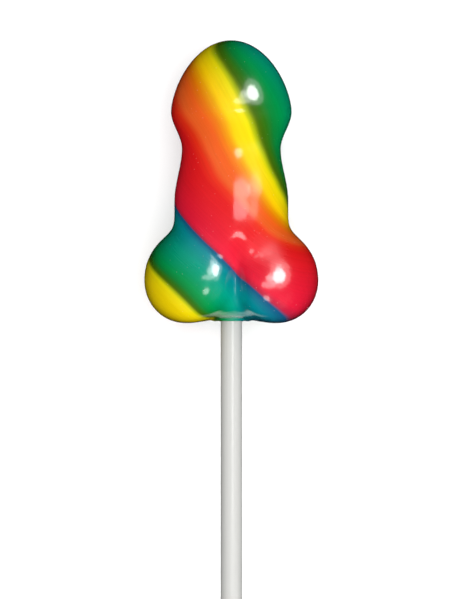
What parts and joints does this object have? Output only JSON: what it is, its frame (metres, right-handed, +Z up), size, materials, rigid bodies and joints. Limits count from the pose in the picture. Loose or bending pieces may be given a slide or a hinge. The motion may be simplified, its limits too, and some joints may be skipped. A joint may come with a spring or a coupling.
{
  "type": "novelty swirl lollipop",
  "caption": "Rainbow-striped boiled-sugar lollipop in an adult novelty shape on a white plastic tube stick, lying on its back.",
  "frame": {"origin": "bottom centre of the bounding box, on the surface that the lollipop lies on", "axes": "+Z up, out of the moulded front; +Y along the stick towards the head of the candy; +X to the right of the front with the head up"},
  "size_m": [0.0368, 0.1716, 0.0232],
  "materials": {
    "candy": "glossy boiled sugar, twisted stripes of yellow, orange, red, blue, teal and green",
    "stick": "smooth white polypropylene tube"
  },
  "bodies": {
    "root": {"candy": "candy", "stick": "stick"}
  },
  "joints": []
}
